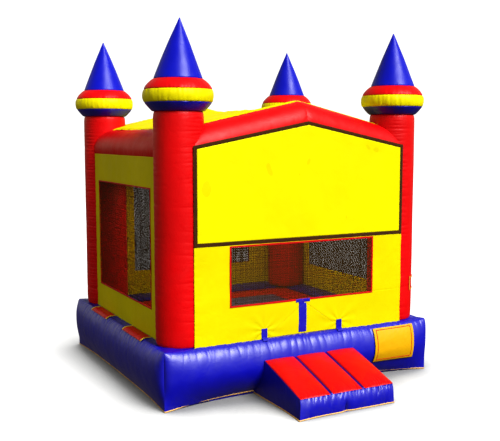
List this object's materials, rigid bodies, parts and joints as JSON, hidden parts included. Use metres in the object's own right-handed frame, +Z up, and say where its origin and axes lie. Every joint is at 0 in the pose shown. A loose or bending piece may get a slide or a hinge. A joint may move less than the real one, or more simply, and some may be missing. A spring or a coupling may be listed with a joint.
{
  "type": "inflatable bounce house",
  "caption": "Inflatable castle-shaped bounce house: air-filled base, corner turrets, net windows, gabled roof, slit entrance and step ramp.",
  "frame": {"origin": "centre of the base's footprint, on the ground", "axes": "+Z up; +Y from the entrance side to the back, where the air sleeve leaves; +X to the right as seen from the entrance side"},
  "size_m": [4.16, 5.289, 4.702],
  "materials": {
    "blue_vinyl": "glossy coated vinyl, taut and creased along the seams",
    "red_vinyl": "glossy coated vinyl",
    "yellow_vinyl": "coated vinyl with a soft gloss",
    "floor_vinyl": "scuffed coated vinyl",
    "roof_vinyl": "thin coated vinyl sheet",
    "baffle_cloth": "coated cloth web",
    "window_net": "woven knotless net",
    "red_trim": "sewn binding tape",
    "dark_tape": "hook and loop tape",
    "webbing": "woven polyester webbing",
    "orange_webbing": "woven polyester webbing",
    "black_webbing": "woven polyester webbing",
    "steel": "zinc-plated wire"
  },
  "bodies": {
    "house": {"base_front": "blue_vinyl", "base_back": "blue_vinyl", "base_left": "blue_vinyl", "base_right": "blue_vinyl", "bounce_floor": "floor_vinyl", "floor_baffles": "baffle_cloth", "column_front_left": "red_vinyl", "column_front_right": "red_vinyl", "column_back_left": "red_vinyl", "column_back_right": "red_vinyl", "lower_band_front_left": "blue_vinyl", "lower_band_front_right": "blue_vinyl", "lower_band_back_left": "blue_vinyl", "lower_band_back_right": "blue_vinyl", "middle_band_front_left": "yellow_vinyl", "middle_band_front_right": "yellow_vinyl", "middle_band_back_left": "yellow_vinyl", "middle_band_back_right": "yellow_vinyl", "upper_band_front_left": "red_vinyl", "upper_band_front_right": "red_vinyl", "upper_band_back_left": "red_vinyl", "upper_band_back_right": "red_vinyl", "spire_front_left": "blue_vinyl", "spire_front_right": "blue_vinyl", "spire_back_left": "blue_vinyl", "spire_back_right": "blue_vinyl", "gable_beam_front": "red_vinyl", "gable_beam_back": "red_vinyl", "side_beam_left": "red_vinyl", "side_beam_right": "red_vinyl", "roof_cover": "roof_vinyl", "front_wall": "yellow_vinyl", "back_wall": "yellow_vinyl", "left_wall": "yellow_vinyl", "right_wall": "yellow_vinyl", "banner_panel": "yellow_vinyl", "banner_frame": "dark_tape", "front_window_mesh": "window_net", "back_window_mesh": "window_net", "left_window_mesh": "window_net", "right_window_mesh": "window_net", "window_trims": "red_trim", "slit_top_patch": "blue_vinyl", "entrance_straps": "blue_vinyl", "wall_anchor_patches": "red_trim", "rules_patch": "webbing", "tether_loops": "orange_webbing", "ramp_body": "blue_vinyl", "ramp_treads": "red_vinyl", "bottom_piping": "webbing", "air_inlet_sleeve": "blue_vinyl", "inlet_strap": "black_webbing", "anchor_tabs": "webbing", "zip_closure": "black_webbing"},
    "flap_left": {"entrance_flap_left": "yellow_vinyl", "slit_cover_strip": "blue_vinyl"},
    "flap_right": {"entrance_flap_right": "yellow_vinyl"},
    "ring_left": {"d_ring_left": "steel"},
    "ring_right": {"d_ring_right": "steel"},
    "zip_pull": {"zip_slider": "steel"}
  },
  "joints": [
    {"name": "flap_left_fold", "type": "hinge", "parent": "house", "child": "flap_left", "pos_m": [-0.28, -1.764, 0.94756], "axis": [-0.8103, 0, -0.586], "range_deg": [0, 75]},
    {"name": "flap_right_fold", "type": "hinge", "parent": "house", "child": "flap_right", "pos_m": [0.28, -1.764, 0.94756], "axis": [0.8103, 0, -0.586], "range_deg": [0, 75]},
    {"name": "ring_left_swing", "type": "hinge", "parent": "house", "child": "ring_left", "pos_m": [-1.56, 1.9375, 0.15], "axis": [1, 0, 0], "range_deg": [-75, 130]},
    {"name": "ring_right_swing", "type": "hinge", "parent": "house", "child": "ring_right", "pos_m": [1.56, 1.9375, 0.15], "axis": [1, 0, 0], "range_deg": [-75, 130]},
    {"name": "zip_travel", "type": "slide", "parent": "house", "child": "zip_pull", "axis": [1, 0, 0], "range_m": [0, 0.47]}
  ]
}
